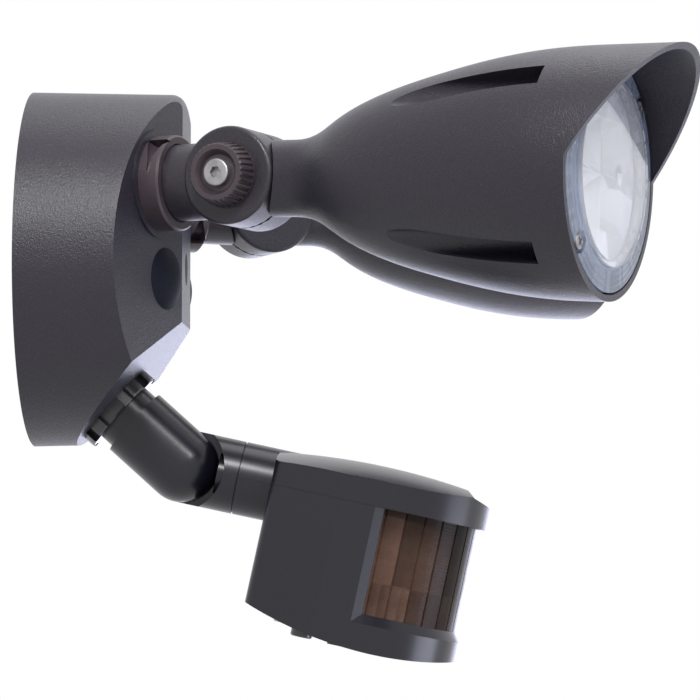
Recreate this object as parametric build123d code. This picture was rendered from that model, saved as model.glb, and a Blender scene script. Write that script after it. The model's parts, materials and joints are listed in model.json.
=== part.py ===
from build123d import *
import math
import os

# Wall-mounted motion sensor security light: a round cast canopy, two lamp heads on
# locking knuckles and one infrared sensor head on a swivel arm. Millimetres and degrees.
# Origin: centre of the canopy's wall face. The front faces -Y, +Z is up.

# ------------------------------------------------------------------ canopy
canopy_radius = 70.0
canopy_depth = 59.6
canopy_draft = 1.2
canopy_wall = 4.0
canopy_corner_round = 5.0
front_strip_half_width = 20.5
lamp_face_angle = 24.0
sensor_face_start = 22.5
sensor_face_angle = 48.0
hub_wall = 5.0
hub_depth = 10.0
plug_hub_wall = 3.0
plug_hub_depth = 7.0
pad_margin = 2.6
pad_height = 1.0

# ------------------------------------------------------------------ wall side
gasket_thickness = 2.0
gasket_seat_width = 2.0
gasket_width = 10.0
plate_end_gap = 5.0
plate_corner_round = 6.5
plate_width = 26.0
plate_thickness = 2.5
plate_slot_radius = 2.4
box_screw_spacing = 88.9
small_box_screw_spacing = 69.85
centre_bolt_radius = 3.1
centre_bolt_head_radius = 6.0
centre_bolt_head_height = 4.0
bolt_post_wall = 3.0
cap_thickness = 2.5
ground_screw_offset = 20.0
ground_screw_radius = 2.1
driver_width = 32.0
driver_depth = 24.0
driver_corner_round = 3.0
driver_post_gap = 1.1
driver_top_gap = 5.3
driver_lug_length = 7.5
driver_lug_thickness = 2.5

# ------------------------------------------------------------------ threads and fits
nipple_radius = 10.5
nipple_bore_radius = 5.0
running_gap = 0.06
clear_gap = 0.4
hidden_gap = 0.6

# ------------------------------------------------------------------ plugs in the lamp faces
plug_side = 32.0
plug_height = -6.6
plug_radius = 12.0
plug_dome = 4.0
plug_shank_length = 9.0

# ------------------------------------------------------------------ lamp stems and knuckles
lamp_side = 37.3
lamp_height = 29.3
locknut_radius = 18.4
locknut_height = 8.2
locknut_web = 2.6
locknut_scoops = 2
locknut_scoop_start = 171.0
locknut_scoop_end = 121.0
locknut_scoop_radius = 4.4
locknut_scoop_tip = 0.5
locknut_edge = 0.8
stem_radius = 14.7
stem_length = 37.0
knuckle_radius = 18.6
knuckle_half_width = 15.0
knuckle_round = 1.6
lap_gap = 0.3
knuckle_clearance = 0.7
tooth_count = 32
tooth_depth = 0.8
tooth_inner_radius = 9.0
bolt_radius = 3.0
bolt_head_radius = 5.2
bolt_head_height = 2.6
bolt_socket_flats = 4.0
nut_flats = 10.0
nut_height = 5.0
bolt_end_gap = 0.5
knob_base_radius = 12.4
knob_face_radius = 11.0
knob_height = 9.0
knob_recess_radius = 8.6
knob_recess_floor_radius = 6.9
knob_recess_depth = 2.6
knob_skirt = 1.5
knob_edge = 0.6
knob_ridges = 32
knob_ridge_depth = 0.8
knob_groove_radius = 0.85

# ------------------------------------------------------------------ lamp heads
left_tilt = -2.3
right_tilt = 2.1
neck_radius = 14.5
neck_length = 22.0
shroud_radius = 45.9
shroud_length = 147.0
shroud_wall = 2.4
waist_radius = 22.4
waist_position = 42.0
shoulder_radius = 37.7
shoulder_position = 84.0
neck_solid_length = 34.0
wire_hole_radius = 4.0
visor_reach = 29.0
visor_start = 1.5
slot_angle = 44.0
slot_width_angle = 12.4
slot_depth = 11.6
slot_front_gap = 14.6
slot_vent = 3.0
core_stem_radius = 11.0
core_taper = 12.0
core_radius = 17.0
core_cup_wall = 2.5
core_flange_thickness = 5.0
core_flange_width = 7.7
core_gap = 0.8
trough_gap = 0.1
core_cup_depth = 10.2
fin_count = 16
fin_length = 46.0
fin_radius = 31.0
fin_thickness = 2.0
board_thickness = 1.6
reflector_thickness = 8.0
reflector_rows = 2
reflector_rim = 5.6
reflector_web = 1.0
reflector_cell_floor = 7.0
led_chip_height = 0.8
lens_gasket_thickness = 1.0
lens_edge_height = 3.2
lens_flange_slope = 1.0
lens_flange_width = 9.1
lens_wall = 2.2
lens_step = 1.3
lens_step_draft = 0.6
lens_crown = 1.6
lens_screws = 2
lens_screw_inset = 3.7
lens_screw_head_radius = 2.9
lens_screw_head_height = 2.0
cross_slot_width = 0.8
lens_screw_radius = 1.5
lens_screw_length = 8.0
lens_notch_radius = 4.2

# ------------------------------------------------------------------ sensor arm
sensor_drop = 31.0
sensor_nut_radius = 17.8
sensor_nut_height = 5.2
sensor_nut_notches = 10
sensor_nut_notch_width = 5.0
sensor_nut_notch_depth = 2.2
sensor_nut_edge = 0.5
sensor_nut_turn = 18.0
collar_step = 1.7
collar_length = 5.4
barrel_radius = 14.5
barrel_length = 36.0
arm_screw_radius = 2.0
arm_screw_head_radius = 4.2
arm_screw_head_height = 3.0
arm_screw_cover = 5.0
swivel_notch_gap = 2.7
sensor_pitch = 12.3
shoulder_gap = 2.9
elbow_ring = 5.4
turn_gap = 0.5
turn_pin_radius = 8.0
turn_pin_length = 9.0

# ------------------------------------------------------------------ sensor head
head_rear = 37.0
head_rear_half_width = 31.0
head_crease = 64.5
head_half_width = 38.0
head_arc_centre = 83.0
neck_overlap = 24.0
brow_reach = 1.2
brow_depth = 7.5
brow_lip_height = 8.9
brow_corner_height = 11.3
head_top = 16.5
head_top_centre = 78.0
top_crown_radius = 116.0
top_arch_radius = 265.0
head_bottom = 55.2
head_bottom_centre = 90.0
bottom_arch_radius = 160.0
head_corner_round = 5.0
sensor_wall = 2.4
window_sill = 14.2
window_start = 82.0
window_bevel = 3.6
sensor_lens_gap = 0.3
sensor_lens_wall = 1.4
sensor_lens_ribs = 14
sensor_lens_tab = 3.0
lens_groove = 0.7
sensor_board_thickness = 1.6
board_setback = 10.0
board_top_gap = 10.1
board_bottom_gap = 3.4
pir_radius = 4.6
pir_height = 4.2
pir_flange_width = 0.6
pir_flange_height = 0.8
photocell_position = 67.5
photocell_radius = 3.0
photocell_depth = 4.0
photocell_sink = 0.4
dial_position = 60.0
dial_radius = 4.4
dial_height = 3.4
dial_edge = 0.5
dial_slot_width = 1.2
dial_slot_depth = 1.2
switch_position = 74.0
switch_length = 7.0
switch_width = 4.0
switch_height = 1.6
switch_travel = 2.0
switch_round = 1.0
dial_shaft_radius = 1.4
dial_shaft_length = 5.0
control_board_rise = 10.2
control_board_middle = 67.0
control_board_length = 26.0
board_post_side = 14.0
board_post_radius = 2.5
shell_post_radius = 3.8
shell_screw_position = 52.0
shell_screw_edge = 11.8
shell_screw_sink = 6.0
shell_screw_radius = 1.6
shell_screw_cover = 13.7
shell_screw_head_radius = 2.8
shell_screw_head_height = 1.8

CENTRED = (Align.CENTER, Align.CENTER, Align.CENTER)
UPWARD = (Align.CENTER, Align.CENTER, Align.MIN)
DOWNWARD = (Align.CENTER, Align.CENTER, Align.MAX)
FAR = 300.0


def sin(angle):
    return math.sin(math.radians(angle))


def cos(angle):
    return math.cos(math.radians(angle))


def tan(angle):
    return math.tan(math.radians(angle))


def rod(radius, start, end):
    """Cylinder on the local Z axis between two heights."""
    return Pos(0, 0, start) * Cylinder(radius, end - start, align=UPWARD)


def ring(outer, inner, start, end):
    return rod(outer, start, end) - rod(inner, start - 1, end + 1)


def turned(outline):
    """Solid of revolution about the local Z axis from (radius, height) points."""
    face = make_face(Polyline(*[(r, 0, z) for r, z in outline], close=True))
    return revolve(face, Axis.Z)


def around(count, shape, phase=0.0):
    return [Rot(0, 0, phase + 360.0 * i / count) * shape for i in range(count)]


# ------------------------------------------------------------------ frames
# Every frame below has local Z pointing out of the face that it sits on.
wall = Plane(origin=(0, 0, 0), x_dir=(1, 0, 0), z_dir=(0, -1, 0))

gasket_outer_radius = canopy_radius - canopy_wall + gasket_seat_width
gasket_inner_radius = gasket_outer_radius - gasket_width
pad_radius = locknut_radius + pad_margin

lamp_axis = Vector(-sin(lamp_face_angle), -cos(lamp_face_angle), 0)
lamp_inward = Vector(cos(lamp_face_angle), -sin(lamp_face_angle), 0)


def on_lamp_face(side, height):
    """Frame on the left lamp face at a distance from the middle and a height."""
    forward = canopy_depth - (side - front_strip_half_width) * tan(lamp_face_angle)
    return Plane(origin=(-side, -forward, height), x_dir=lamp_inward, z_dir=lamp_axis)


stem_frame = on_lamp_face(lamp_side, lamp_height)
plug_frame = on_lamp_face(plug_side, plug_height)
lamp_pivot = stem_frame.origin + lamp_axis * stem_length
pivot_frame = Plane(origin=lamp_pivot, x_dir=lamp_axis, z_dir=lamp_inward * -1)


def head_frame(tilt):
    direction = lamp_axis * cos(tilt) + Vector(0, 0, 1) * sin(tilt)
    return Plane(origin=lamp_pivot, x_dir=lamp_inward, z_dir=direction)


elbow_shoulder = barrel_radius + shoulder_gap
elbow_length = elbow_shoulder + elbow_ring
sensor_axis = Vector(0, -sin(sensor_face_angle), -cos(sensor_face_angle))
sensor_base_y = -(canopy_depth - sensor_drop / tan(sensor_face_angle))
sensor_base_z = -(sensor_face_start + sensor_drop)
sensor_frame = Plane(origin=(0, sensor_base_y, sensor_base_z), x_dir=(1, 0, 0), z_dir=sensor_axis)
sensor_pivot = sensor_frame.origin + sensor_axis * barrel_length
# Sensor head: local X runs forward along the neck, local Y is +X and local Z is up.
neck_direction = Vector(0, -cos(sensor_pitch), -sin(sensor_pitch))
neck_up = Vector(0, -sin(sensor_pitch), cos(sensor_pitch))
sensor_head_frame = Plane(origin=sensor_pivot, x_dir=neck_direction, z_dir=neck_up)
neck_frame = Plane(origin=sensor_pivot, x_dir=(1, 0, 0), z_dir=neck_direction)


# ------------------------------------------------------------------ canopy
def canopy_form(inset, corner):
    """Drafted drum with a rounded front corner, cut by the lamp faces and the sensor face."""
    radius = canopy_radius - inset
    depth = canopy_depth - inset
    front_radius = radius - depth * tan(canopy_draft)
    section = make_face(Polyline((0, 0), (radius, 0), (front_radius, depth), (0, depth), close=True))
    if corner > 0:
        outer_corner = section.vertices().sort_by_distance((front_radius, depth))[0]
        section = fillet(outer_corner, corner)
    drum = revolve(Rot(90, 0, 0) * section, Axis.Z)
    slab = Box(FAR, FAR, FAR, align=UPWARD)
    for side in (-1, 1):
        normal = Vector(side * sin(lamp_face_angle), 0, cos(lamp_face_angle))
        edge = Vector(side * front_strip_half_width, 0, canopy_depth)
        drum -= Plane(origin=edge - normal * inset, x_dir=(0, 1, 0), z_dir=normal) * slab
    normal = Vector(0, -cos(sensor_face_angle), sin(sensor_face_angle))
    edge = Vector(0, -sensor_face_start, canopy_depth)
    drum -= Plane(origin=edge - normal * inset, x_dir=(1, 0, 0), z_dir=normal) * slab
    return wall * drum


def both_sides(shape):
    return [shape, mirror(shape, about=Plane.YZ)]


bolt_head_seat = canopy_depth - cap_thickness - centre_bolt_head_height
cap_radius = centre_bolt_head_radius + clear_gap
post_radius = cap_radius + bolt_post_wall
nipple_hole = nipple_radius + running_gap


def make_housing():
    form = canopy_form(0, canopy_corner_round)
    body = form - canopy_form(canopy_wall, 0)
    body -= wall * rod(gasket_outer_radius, -1, gasket_thickness)
    hub_radius = nipple_radius + hub_wall
    hub_back = -(canopy_wall + hub_depth)
    hubs = both_sides(stem_frame * rod(hub_radius, hub_back, 0))
    plug_hub_back = -(canopy_wall + plug_hub_depth)
    hubs += both_sides(plug_frame * rod(nipple_radius + plug_hub_wall, plug_hub_back, 0))
    hubs += [sensor_frame * rod(hub_radius, hub_back, 0)]
    hubs += [wall * rod(post_radius, bolt_head_seat - bolt_post_wall, canopy_depth)]
    for hub in hubs:
        body += hub & form
    body += both_sides(stem_frame * rod(pad_radius, -canopy_wall / 2, pad_height))
    holes = both_sides(stem_frame * rod(nipple_hole, hub_back - 1, pad_height + 1))
    holes += both_sides(plug_frame * rod(nipple_radius, hub_back, 1))
    holes += [sensor_frame * rod(nipple_hole, hub_back - 1, 1)]
    holes += [wall * rod(cap_radius, bolt_head_seat, canopy_depth + 1)]
    holes += [wall * rod(centre_bolt_radius + clear_gap, 0, canopy_depth)]
    return body - holes


def make_wall_gasket():
    return wall * ring(gasket_outer_radius, gasket_inner_radius, 0, gasket_thickness)


def make_mounting_plate():
    plate_length = 2 * (gasket_inner_radius - plate_end_gap)
    bar = Box(plate_length, plate_width, plate_thickness, align=UPWARD)
    bar = fillet(bar.edges().filter_by(Axis.Z), plate_corner_round)
    slot_centre = (box_screw_spacing + small_box_screw_spacing) / 4
    slot_length = (box_screw_spacing - small_box_screw_spacing) / 2 + 2 * plate_slot_radius
    slot = extrude(SlotOverall(slot_length, 2 * plate_slot_radius), plate_thickness)
    for side in (-1, 1):
        bar -= Pos(side * slot_centre, 0, 0) * slot
    bar -= rod(centre_bolt_radius, -1, plate_thickness + 1)
    bar -= Pos(ground_screw_offset, 0, 0) * rod(ground_screw_radius, -1, plate_thickness + 1)
    return wall * bar


def make_ground_screw():
    shank = rod(ground_screw_radius, 0, plate_thickness)
    hexagon = extrude(RegularPolygon(ground_screw_radius * 2, 6), ground_screw_radius)
    return wall * (Pos(ground_screw_offset, 0, 0) * (shank + Pos(0, 0, plate_thickness) * hexagon))


def make_centre_bolt():
    shank = rod(centre_bolt_radius, 0, bolt_head_seat)
    head = rod(centre_bolt_head_radius, bolt_head_seat, bolt_head_seat + centre_bolt_head_height)
    top = bolt_head_seat + centre_bolt_head_height
    socket = extrude(RegularPolygon(centre_bolt_radius, 6), -centre_bolt_head_height / 2)
    return wall * (shank + head - Pos(0, 0, top) * socket)


def make_centre_cap():
    start = bolt_head_seat + centre_bolt_head_height
    return wall * rod(cap_radius, start, canopy_depth)


driver_front = canopy_depth - canopy_wall
driver_rise = post_radius + driver_post_gap + driver_lug_length
inner_front_radius = canopy_radius - canopy_wall - canopy_depth * tan(canopy_draft)
driver_height = inner_front_radius - driver_top_gap - driver_lug_length - driver_rise


def make_led_driver():
    middle = driver_rise + driver_height / 2
    case = Box(driver_width, driver_height, driver_depth, align=DOWNWARD)
    case = fillet(case.edges().filter_by(Axis.Z), driver_corner_round)
    lug = Box(driver_width / 2, driver_height + 2 * driver_lug_length, driver_lug_thickness,
              align=DOWNWARD)
    lug_middle = driver_height / 2 + driver_lug_length / 2
    holes = [Pos(0, side * lug_middle, 0) * rod(ground_screw_radius, -FAR, 1) for side in (-1, 1)]
    return wall * (Pos(0, middle, driver_front) * (case + lug - holes))


def make_driver_screws():
    middle = driver_rise + driver_height / 2
    lug_middle = driver_height / 2 + driver_lug_length / 2
    screw = rod(ground_screw_radius, -driver_lug_thickness, 0)
    head = rod(ground_screw_radius * 1.5, -ground_screw_radius, 0)
    screw += Pos(0, 0, -driver_lug_thickness) * head
    return wall * Compound([Pos(0, middle + side * lug_middle, driver_front) * screw for side in (-1, 1)])


def make_plug():
    sphere_radius = (plug_radius ** 2 + plug_dome ** 2) / (2 * plug_dome)
    dome = Pos(0, 0, plug_dome - sphere_radius) * Sphere(sphere_radius)
    dome &= rod(plug_radius, 0, plug_dome + 1)
    return plug_frame * (dome + rod(nipple_radius, -plug_shank_length, 0))


# ------------------------------------------------------------------ lamp knuckles
stem_start = pad_height + locknut_web
nut_bore = nipple_radius + running_gap
stem_back = -(canopy_wall + hub_depth)


def finger_scoop():
    """Cone along a chord of the locknut: it starts narrow on the rim and widens."""
    start = Vector(cos(locknut_scoop_start), sin(locknut_scoop_start)) * locknut_radius
    end = Vector(cos(locknut_scoop_end), sin(locknut_scoop_end)) * locknut_radius
    along = (end - start).normalized()
    chord = Plane(origin=start - along * locknut_scoop_tip, z_dir=along)
    length = (end - start).length + locknut_scoop_tip
    return chord * Cone(locknut_scoop_tip, locknut_scoop_radius, length, align=UPWARD)


def make_locknut():
    top = pad_height + locknut_height
    body = rod(locknut_radius, pad_height, top)
    body = chamfer(body.edges().sort_by(Axis.Z)[-1], locknut_edge)
    middle = (pad_height + top) / 2
    body -= around(locknut_scoops, Pos(0, 0, middle) * finger_scoop())
    body -= rod(stem_radius + clear_gap, stem_start, top + 1)
    body -= rod(nut_bore, 0, top)
    return stem_frame * body


def tooth_grooves(floor):
    """Radial V grooves around a knuckle's lap face, which lies on local Z = floor."""
    pitch = 2 * math.pi * knuckle_radius / tooth_count
    outline = Polyline((-pitch / 2.2, 0), (pitch / 2.2, 0), (0, -tooth_depth), close=True)
    groove = extrude(Plane.YZ * make_face(outline), knuckle_radius)
    groove = Pos(tooth_inner_radius, 0, floor) * groove
    return around(tooth_count, groove)


lap_radius = knuckle_radius + knuckle_clearance


def make_arm():
    """Stem with the outer half of the knuckle, in the stem frame with the pivot across it."""
    stem = rod(stem_radius, stem_start, stem_length)
    stem += rod(nipple_radius, stem_back, stem_start)
    # The lap is cut in the pivot frame, whose local Z points to the outer side.
    stem = pivot_frame.to_local_coords(stem_frame * stem)
    stem -= rod(lap_radius, -FAR, lap_gap)
    disc = rod(knuckle_radius, lap_gap, knuckle_half_width)
    disc = fillet(disc.edges().sort_by(Axis.Z)[-1], knuckle_round)
    disc -= [Rot(180, 0, 0) * groove for groove in tooth_grooves(-lap_gap)]
    arm = stem + disc
    arm -= rod(bolt_radius + running_gap, -1, FAR)
    arm = pivot_frame * arm
    arm -= stem_frame * rod(nipple_bore_radius, stem_back - 1, stem_length - knuckle_radius)
    return arm


def make_knob():
    start = knuckle_half_width + running_gap
    end = start + knob_height
    skirt = start + knob_skirt
    body = turned([(0, start), (knob_base_radius, start), (knob_base_radius, skirt),
                   (knob_face_radius, end - knob_edge), (knob_face_radius - knob_edge, end), (0, end)])
    lean = math.degrees(math.atan((knob_base_radius - knob_face_radius) / knob_height))
    groove_middle = knob_base_radius - knob_ridge_depth + knob_groove_radius
    groove = Pos(groove_middle, 0, skirt) * Rot(0, -lean, 0) * rod(knob_groove_radius, 0, knob_height * 2)
    body -= around(knob_ridges, groove)
    floor = end - knob_recess_depth
    body -= turned([(0, floor), (knob_recess_floor_radius, floor), (knob_recess_radius, end), (0, end)])
    body -= rod(bolt_radius, start - 1, end + 1)
    return pivot_frame * body


nut_start = -(knuckle_half_width - nut_height)
# Across the head: local Z points to the outer side, local X along the head.
across_head = Plane(origin=(0, 0, 0), x_dir=(0, 0, 1), z_dir=(-1, 0, 0))


def make_pivot_bolt():
    seat = knuckle_half_width + running_gap + knob_height - knob_recess_depth
    head_top = seat + bolt_head_height
    body = rod(bolt_radius, nut_start - nut_height + bolt_end_gap, seat)
    head = rod(bolt_head_radius, seat, head_top)
    head = fillet(head.edges().sort_by(Axis.Z)[-1], 0.8)
    socket = extrude(RegularPolygon(bolt_socket_flats / 2, 6, major_radius=False), -bolt_head_height * 0.7)
    return pivot_frame * (body + head - Pos(0, 0, head_top) * socket)


def nut_block():
    hexagon = RegularPolygon(nut_flats / 2, 6, major_radius=False)
    return Pos(0, 0, nut_start) * extrude(hexagon, -nut_height)


def make_pivot_nut():
    return across_head * (nut_block() - rod(bolt_radius + running_gap, -FAR, 0))


# ------------------------------------------------------------------ lamp heads
def shroud_form(inset):
    """Half outline of the bullet, from the neck to the end of the visor, as (radius, length)."""
    length = shroud_length + visor_reach + 2
    flare = Spline(
        (neck_radius - inset, neck_length),
        (waist_radius - inset, waist_position),
        (shoulder_radius - inset, shoulder_position),
        (shroud_radius - inset, shroud_length),
        tangents=((0, 1), (0, 1)),
    )
    tip = Line((shroud_radius - inset, shroud_length), (shroud_radius - inset, length))
    close = Polyline((shroud_radius - inset, length), (0, length), (0, 0), (neck_radius - inset, 0))
    neck = Line((neck_radius - inset, 0), (neck_radius - inset, neck_length))
    return revolve(Rot(90, 0, 0) * make_face([neck, flare, tip, close]), Axis.Z)


slot_angles = (slot_angle, 180 - slot_angle, 180 + slot_angle, -slot_angle)


def scoop(skin, short):
    """Round-bottomed channel along the head, from the neck to near the rim."""
    half_width = shroud_radius * tan(slot_width_angle / 2)
    middle = shroud_radius - slot_depth + half_width
    end = shroud_length - slot_front_gap - short
    channel = Pos(middle, 0, 0) * rod(half_width + skin, neck_solid_length, end)
    sides = Box(FAR, 2 * (half_width + skin), end - neck_solid_length,
                align=(Align.MIN, Align.CENTER, Align.MIN))
    return channel + Pos(middle, 0, neck_solid_length) * sides


def make_head_shroud():
    """Shroud, neck and inner half of the knuckle: local Z along the head, local Y up."""
    outer = shroud_form(0)
    inner = shroud_form(shroud_wall) - rod(FAR, -1, neck_solid_length)
    body = outer - inner
    slope = visor_reach / (shroud_radius - visor_start)
    top = shroud_length + slope * (FAR - visor_start)
    outline = Polyline((shroud_length, -FAR), (shroud_length, visor_start), (top, FAR), (FAR * 2, FAR),
                       (FAR * 2, -FAR), close=True)
    cut = extrude(Rot(0, -90, 0) * make_face(outline), FAR, both=True)
    body -= cut
    for angle in slot_angles:
        body += Rot(0, 0, angle) * scoop(shroud_wall, slot_vent) & outer
        body -= Rot(0, 0, angle) * scoop(0, 0)
    body -= rod(wire_hole_radius, knuckle_radius, neck_solid_length + 1)
    # Lap: in the pivot's direction the outer half of the neck is cut away round the arm's disc.
    body -= across_head * rod(lap_radius, -lap_gap, FAR)
    disc = rod(knuckle_radius, -knuckle_half_width, -lap_gap)
    disc = fillet(disc.edges().sort_by(Axis.Z)[0], knuckle_round)
    disc -= tooth_grooves(-lap_gap)
    body += across_head * disc
    body -= across_head * nut_block()
    return body - across_head * rod(bolt_radius + running_gap, -FAR, 0)


core_flange_start = shroud_length - lens_edge_height - lens_gasket_thickness - core_flange_thickness
core_flange_radius = shroud_radius - shroud_wall - core_gap
core_front = core_flange_start + core_flange_thickness
core_cup_radius = core_flange_radius - core_flange_width
cup_floor = core_front - core_cup_depth
fin_start = cup_floor - core_cup_wall - fin_length


def make_lamp_core():
    """Finned heat sink on a stem, with the cup and flange that carry the lens."""
    cup_outside = core_cup_radius + core_cup_wall
    body = turned([(0, neck_solid_length), (core_stem_radius, neck_solid_length),
                   (core_stem_radius, fin_start - core_taper / 2),
                   (core_radius, fin_start + core_taper / 2),
                   (core_radius, cup_floor - 2 * core_cup_wall), (cup_outside, cup_floor - core_cup_wall),
                   (cup_outside, core_flange_start), (core_flange_radius, core_flange_start),
                   (core_flange_radius, core_front), (0, core_front)])
    fin = Box(2 * fin_radius, fin_thickness, fin_length, align=UPWARD)
    room = shroud_form(shroud_wall + core_gap)
    body += [Rot(0, 0, 360.0 * i / fin_count) * Pos(0, 0, fin_start) * fin & room
             for i in range(fin_count // 2)]
    body -= rod(core_cup_radius, cup_floor, core_front + 1)
    body -= rod(wire_hole_radius, 0, FAR)
    for angle in slot_angles:
        body -= Rot(0, 0, angle) * scoop(shroud_wall + trough_gap, slot_vent)
    return body


board_top = cup_floor + board_thickness
board_radius = core_cup_radius - clear_gap
cell_room = (board_radius - reflector_rim) * math.sqrt(2)
reflector_cell = (cell_room + reflector_web) / reflector_rows - reflector_web


def cell_centres():
    offset = (reflector_rows - 1) / 2
    steps = [(i - offset) * (reflector_cell + reflector_web) for i in range(reflector_rows)]
    return [(x, y) for x in steps for y in steps]


def make_led_board():
    disc = rod(board_radius, cup_floor, board_top)
    chip_side = reflector_cell_floor - 2 * clear_gap
    chip = Box(chip_side, chip_side, led_chip_height, align=UPWARD)
    for x, y in cell_centres():
        disc += Pos(x, y, board_top) * chip
    return disc


def make_reflector():
    end = board_top + reflector_thickness
    body = rod(board_radius, board_top, end)
    for x, y in cell_centres():
        low = Pos(x, y, board_top) * Rectangle(reflector_cell_floor, reflector_cell_floor)
        high = Pos(x, y, end) * Rectangle(reflector_cell, reflector_cell)
        body -= loft([low, high])
    return body


lens_back = core_front + lens_gasket_thickness
lens_window_radius = core_flange_radius - lens_flange_width
lens_screw_circle = core_flange_radius - lens_screw_inset
lens_screw_seat = lens_back + lens_edge_height / 2


def screw_places():
    turns = [180 + slot_angle + 360 / lens_screws * i for i in range(lens_screws)]
    return [Rot(0, 0, turn) * Pos(lens_screw_circle, 0, 0) for turn in turns]


def make_lens_gasket():
    body = ring(core_flange_radius, core_cup_radius, core_front, lens_back)
    for place in screw_places():
        body -= place * rod(lens_screw_radius, 0, FAR)
    return body


lens_edge = lens_back + lens_edge_height


def make_lens():
    """Clear lens: a sloped outer flange, a raised step and a slightly crowned window."""
    crown_base = lens_edge + lens_flange_slope + lens_step
    top = crown_base + lens_crown
    body = turned([(0, lens_back), (core_flange_radius, lens_back), (core_flange_radius, lens_edge),
                   (lens_window_radius + lens_step_draft, lens_edge + lens_flange_slope),
                   (lens_window_radius, crown_base), (lens_window_radius, top), (0, top)])
    ball_radius = (lens_window_radius ** 2 + lens_crown ** 2) / (2 * lens_crown)
    body &= Pos(0, 0, top - ball_radius) * Sphere(ball_radius)
    hollow = rod(lens_window_radius - lens_wall, 0, top)
    body -= hollow & Pos(0, 0, top - ball_radius) * Sphere(ball_radius - lens_wall)
    for place in screw_places():
        body -= place * rod(lens_notch_radius, lens_screw_seat, FAR)
        body -= place * rod(lens_screw_radius, 0, FAR)
    return body


def cross_slot(radius, depth):
    """Cross recess cut down from a screw head's top, which lies on local Z = 0."""
    bar = Box(radius * 1.4, cross_slot_width, depth * 2)
    return bar + Rot(0, 0, 90) * bar


def make_lens_screws():
    top = lens_screw_seat + lens_screw_head_height
    screw = rod(lens_screw_radius, lens_screw_seat - lens_screw_length, lens_screw_seat)
    head = rod(lens_screw_head_radius, lens_screw_seat, top)
    head = fillet(head.edges().sort_by(Axis.Z)[-1], lens_screw_head_height / 3)
    head -= Pos(0, 0, top) * cross_slot(lens_screw_head_radius, lens_screw_head_height / 3)
    return Compound([place * (screw + head) for place in screw_places()])


def drill_core(core):
    """Tapped holes in the core for the lens screws."""
    for place in screw_places():
        core -= place * rod(lens_screw_radius, lens_screw_seat - lens_screw_length, FAR)
    return core


# ------------------------------------------------------------------ sensor arm
def make_sensor_locknut():
    body = rod(sensor_nut_radius, 0, sensor_nut_height)
    body = chamfer(body.edges().sort_by(Axis.Z)[-1], sensor_nut_edge)
    reach = sensor_nut_radius - sensor_nut_notch_depth
    notch = Pos(reach, 0, -1) * Box(FAR, sensor_nut_notch_width, FAR,
                                    align=(Align.MIN, Align.CENTER, Align.MIN))
    body -= around(sensor_nut_notches, notch, sensor_nut_turn)
    body -= rod(nut_bore, -1, FAR)
    return sensor_frame * body


screw_bore = arm_screw_radius + running_gap
arm_screw_inset = barrel_radius - arm_screw_cover
collar_end = sensor_nut_height + collar_length


def make_swivel_base():
    """Nipple, collar and barrel, whose domed end is cut away on the +X side for the elbow."""
    body = rod(nipple_radius, stem_back, sensor_nut_height)
    body += rod(barrel_radius - collar_step, sensor_nut_height + running_gap, collar_end)
    body += rod(nipple_radius, sensor_nut_height, sensor_nut_height + running_gap)
    body += rod(barrel_radius, collar_end, barrel_length)
    body += Pos(0, 0, barrel_length) * Sphere(barrel_radius)
    pivot = Pos(0, 0, barrel_length)
    across = pivot * Rot(0, 90, 0)
    body -= across * rod(barrel_radius + swivel_notch_gap, -lap_gap, FAR)
    body -= across * rod(arm_screw_radius, -arm_screw_inset, FAR)
    body -= rod(nipple_bore_radius, stem_back - 1, barrel_length - barrel_radius - 2)
    return sensor_frame * body


def make_swivel_elbow():
    """Inner half of the sensor knuckle with the ring that the sensor's neck turns on."""
    body = rod(barrel_radius, 0, elbow_length) + Sphere(barrel_radius)
    body -= Rot(0, 90, 0) * rod(elbow_shoulder, -FAR, lap_gap)
    body += rod(barrel_radius, elbow_shoulder, elbow_length)
    body -= Rot(0, 90, 0) * rod(screw_bore, -FAR, FAR)
    body -= Rot(0, 90, 0) * rod(arm_screw_head_radius + running_gap, arm_screw_inset, FAR)
    body -= rod(turn_pin_radius + running_gap, elbow_length - turn_pin_length, FAR)
    return neck_frame * body


def make_swivel_screw():
    top = arm_screw_inset + arm_screw_head_height
    body = rod(arm_screw_radius, -arm_screw_inset, arm_screw_inset)
    head = rod(arm_screw_head_radius, arm_screw_inset, top)
    head -= Pos(0, 0, top) * cross_slot(arm_screw_head_radius, arm_screw_head_height / 3)
    return neck_frame * (Rot(0, 90, 0) * (body + head))


# ------------------------------------------------------------------ sensor head
sensor_neck_radius = barrel_radius
window_height = head_bottom - window_sill
control_board_level = -(head_bottom - control_board_rise)
board_position = window_start - board_setback


def half_width_at(position, inset):
    """Half of the head's width behind its straight sides' front end."""
    if position > head_crease:
        return head_half_width - inset
    share = (position - head_rear - inset) / (head_crease - head_rear - inset)
    return head_rear_half_width - inset + share * (head_half_width - head_rear_half_width)


def head_outline(inset, arc_centre):
    """Plan of the sensor head: a tapering rear, straight sides and a round front."""
    side = head_half_width - inset
    rear_side = head_rear_half_width - inset
    rear = head_rear + inset
    sides = Polyline((arc_centre, side), (head_crease, side), (rear, rear_side), (rear, -rear_side),
                     (head_crease, -side), (arc_centre, -side))
    front = ThreePointArc((arc_centre, -side), (arc_centre + side, 0), (arc_centre, side))
    return make_face([sides, front])


def arch_face(height, centre, arch, depth):
    """Upright face along the head, under an arc whose highest point is at the centre."""
    reach = FAR / 3
    drop = arch - math.sqrt(arch ** 2 - reach ** 2)
    low = height - drop
    curve = ThreePointArc((centre - reach, low), (centre, height), (centre + reach, low))
    sides = Polyline((centre + reach, height - drop), (centre + reach, height - depth),
                     (centre - reach, height - depth), (centre - reach, height - drop))
    return Plane.XZ * make_face([curve, sides])


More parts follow.
